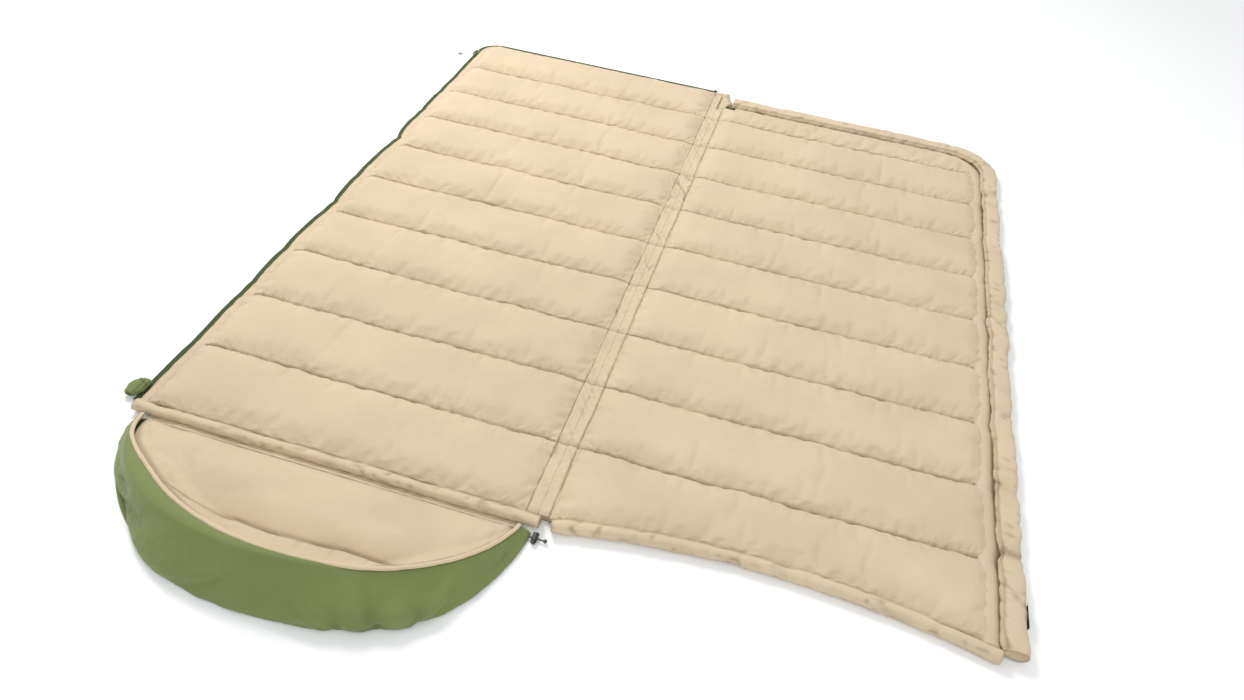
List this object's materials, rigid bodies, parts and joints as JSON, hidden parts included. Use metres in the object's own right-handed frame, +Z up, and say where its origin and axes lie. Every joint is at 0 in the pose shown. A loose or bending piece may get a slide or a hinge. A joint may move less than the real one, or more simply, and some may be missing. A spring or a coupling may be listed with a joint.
{
  "type": "camp quilt",
  "caption": "Hooded rectangular camp sleeping quilt, unzipped and laid open flat, with channelled panels, draft tubes, an L-shaped zip and a drawcord hood.",
  "frame": {"origin": "middle of the footprint, on the ground", "axes": "+X across the quilt from the zipped edge of the under panel to the draft tube of the over panel, +Y from the hood to the foot, +Z up"},
  "size_m": [1.9014, 2.295, 0.0931],
  "materials": {
    "tan_lining": "woven cotton, matt",
    "green_shell": "brushed woven cotton, matt",
    "wadding": "white hollow-fibre batt",
    "quilting_thread": "polyester thread",
    "zip_tape": "woven polyester tape",
    "zip_coil": "nylon coil",
    "zip_hardware": "dark green enamel",
    "pull_cord": "braided cord",
    "grip": "moulded, matt",
    "hood_cord": "braided cord",
    "lock_plastic": "moulded, satin",
    "spring_steel": "drawn wire",
    "label": "blank woven label"
  },
  "bodies": {
    "under_panel": {"under_outer_shell": "green_shell", "under_wadding": "wadding", "under_lining": "tan_lining", "under_quilting_thread": "quilting_thread", "under_zip_facing": "tan_lining", "under_zip_tape": "zip_tape", "under_zip_coil": "zip_coil", "under_zip_top_stop": "zip_coil", "zip_retainer_box": "zip_coil", "collar_tube_casing": "tan_lining", "collar_tube_filling": "wadding"},
    "fold_band": {"fold_outer_strip": "green_shell", "fold_wadding_strip": "wadding", "fold_lining_strip": "tan_lining"},
    "over_panel": {"over_outer_shell": "green_shell", "over_wadding": "wadding", "over_lining": "tan_lining", "over_quilting_thread": "quilting_thread", "over_zip_facing": "tan_lining", "over_zip_tape": "zip_tape", "over_zip_coil": "zip_coil", "over_zip_top_stop": "zip_coil", "zip_insertion_pin": "zip_coil", "head_tube_casing": "tan_lining", "head_tube_filling": "wadding", "draft_tube_casing": "tan_lining", "draft_tube_filling": "wadding", "care_label": "label"},
    "hood": {"hood_floor_shell": "green_shell", "hood_floor_wadding": "wadding", "hood_floor_lining": "tan_lining", "hood_quilting_thread": "quilting_thread", "hood_wall_shell": "green_shell", "hood_wall_wadding": "wadding", "hood_wall_lining": "tan_lining", "hood_piping": "tan_lining", "hood_drawcord": "hood_cord", "drawcord_knot": "hood_cord"},
    "cord_lock": {"cord_lock_body": "lock_plastic", "cord_lock_spring": "spring_steel"},
    "lock_button": {"cord_lock_button": "lock_plastic"},
    "zip_slider": {"slider_body": "zip_hardware"},
    "zip_puller": {"puller_tab": "zip_hardware", "pull_cord": "pull_cord", "pull_cord_grip": "grip"},
    "closure_tab": {"closure_tab_cover": "green_shell", "closure_tab_wadding": "wadding"}
  },
  "joints": [
    {"name": "panel_fold", "type": "hinge", "parent": "fold_band", "child": "over_panel", "pos_m": [0.024, 0, 0.008], "axis": [0, -1, 0], "range_deg": [0, 90]},
    {"name": "band_fold", "type": "hinge", "parent": "under_panel", "child": "fold_band", "pos_m": [-0.024, 0, 0.008], "axis": [0, -1, 0], "range_deg": [0, 90]},
    {"name": "hood_lift", "type": "hinge", "parent": "under_panel", "child": "hood", "pos_m": [-0.435, -0.824, 0.025], "axis": [-1, 0, 0], "range_deg": [0, 80]},
    {"name": "tab_flap", "type": "hinge", "parent": "under_panel", "child": "closure_tab", "pos_m": [-0.894, -0.76, 0.008], "axis": [0, -1, 0], "range_deg": [-90, 0]},
    {"name": "zip_slide", "type": "slide", "parent": "under_panel", "child": "zip_slider", "axis": [0, -1, 0], "range_m": [0, 1.74]},
    {"name": "puller_swing", "type": "hinge", "parent": "zip_slider", "child": "zip_puller", "pos_m": [-0.90475, 1.055, 0.0083], "axis": [-1, 0, 0], "range_deg": [0, 170]},
    {"name": "cord_lock_slide", "type": "slide", "parent": "hood", "child": "cord_lock", "axis": [1, 0, 0], "range_m": [-0.006, 0.01]},
    {"name": "lock_button_press", "type": "slide", "parent": "cord_lock", "child": "lock_button", "axis": [0, 1, 0], "range_m": [0, 0.003], "stiffness_N_per_m": 300, "springref_m": -0.002, "deforming": ["cord_lock_spring"]}
  ],
  "couplings": [
    {"joint": "panel_fold", "follows": "band_fold", "ratio": 1}
  ]
}
